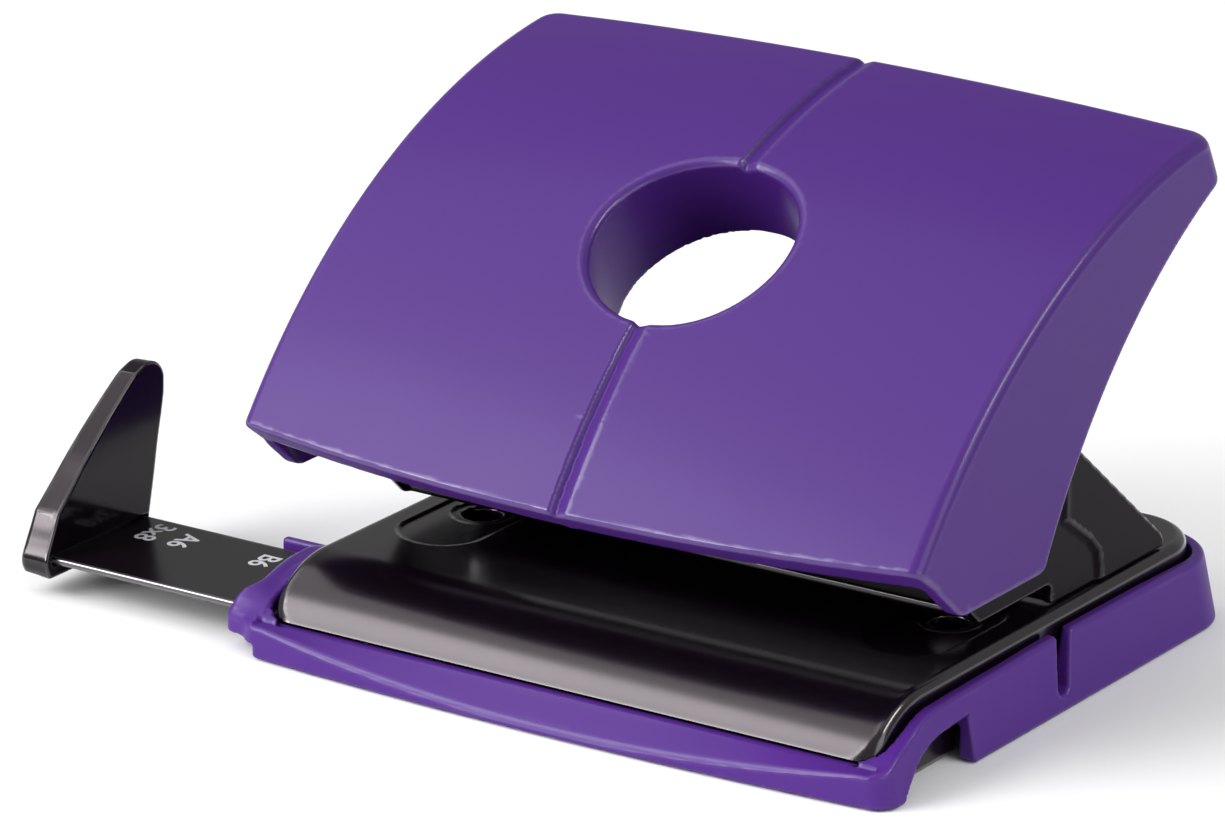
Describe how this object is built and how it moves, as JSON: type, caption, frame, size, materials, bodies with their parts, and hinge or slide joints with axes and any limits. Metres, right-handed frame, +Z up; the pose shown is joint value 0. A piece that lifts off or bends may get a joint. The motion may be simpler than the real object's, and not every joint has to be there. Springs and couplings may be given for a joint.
{
  "type": "two-hole desk punch",
  "caption": "Desk punch with a curved plastic press handle, steel punch unit, hinged chip tray and a pull-out paper stop.",
  "frame": {"origin": "on the floor plane, midway between the two punch pins, under their common line", "axes": "+X along the paper edge to the punch's right, away from the pulled-out stop; +Y to the back, into the punch from the paper; +Z up"},
  "size_m": [0.1536, 0.1001, 0.0784],
  "materials": {
    "handle_plastic": "satin purple moulding",
    "tray_plastic": "satin purple moulding",
    "guide_plastic": "plain black moulding",
    "black_gloss": "gloss black moulding",
    "black_enamel": "gloss black enamel on sheet steel",
    "black_lever": "black coated steel",
    "black_rail": "gloss black coated steel strip",
    "zinc_steel": "zinc-plated",
    "zinc_screw": "zinc-plated",
    "spring_steel": "bright spring steel",
    "hard_steel": "ground hardened steel"
  },
  "bodies": {
    "tray": {"chip_tray": "tray_plastic", "rail_guide": "guide_plastic", "rail_guide_screw_1": "zinc_screw", "rail_guide_screw_2": "zinc_screw", "rail_spring": "spring_steel"},
    "punch_unit": {"base_plate": "black_enamel", "punch_frame": "black_enamel", "upper_guide": "zinc_steel", "pivot_axle": "zinc_steel", "axle_clip_left": "spring_steel", "axle_clip_right": "spring_steel", "frame_rivet_left_1": "zinc_screw", "frame_rivet_left_2": "zinc_screw", "frame_rivet_right_1": "zinc_screw", "frame_rivet_right_2": "zinc_screw", "pin_spring_left": "spring_steel", "pin_spring_right": "spring_steel"},
    "handle": {"handle_shell": "handle_plastic", "press_lever": "black_lever", "handle_screw_left_1": "zinc_screw", "handle_screw_left_2": "zinc_screw", "handle_screw_right_1": "zinc_screw", "handle_screw_right_2": "zinc_screw"},
    "pin_left": {"punch_pin_left": "hard_steel", "pin_clip_left": "spring_steel"},
    "pin_right": {"punch_pin_right": "hard_steel", "pin_clip_right": "spring_steel"},
    "stop": {"stop_rail": "black_rail", "stop_fence": "black_gloss"}
  },
  "joints": [
    {"name": "tray_hinge", "type": "hinge", "parent": "tray", "child": "punch_unit", "pos_m": [-0.0509, 0, 0.0092], "axis": [0, -1, 0], "range_deg": [0, 26]},
    {"name": "handle_press", "type": "hinge", "parent": "punch_unit", "child": "handle", "pos_m": [0, -0.014, 0.033], "axis": [-1, 0, 0], "range_deg": [0, 30], "stiffness_Nm_per_rad": 0.3, "springref_deg": -17.19},
    {"name": "pin_left_slide", "type": "slide", "parent": "punch_unit", "child": "pin_left", "axis": [0, 0, -1], "range_m": [0, 0.0076], "deforming": ["pin_spring_left"]},
    {"name": "pin_right_slide", "type": "slide", "parent": "punch_unit", "child": "pin_right", "axis": [0, 0, -1], "range_m": [0, 0.0076], "deforming": ["pin_spring_right"]},
    {"name": "stop_slide", "type": "slide", "parent": "tray", "child": "stop", "axis": [1, 0, 0], "range_m": [-0.0572, 0.0228]}
  ],
  "couplings": [
    {"joint": "pin_left_slide", "follows": "handle_press", "m_per_rad": 0.01419},
    {"joint": "pin_right_slide", "follows": "handle_press", "m_per_rad": 0.01419}
  ]
}
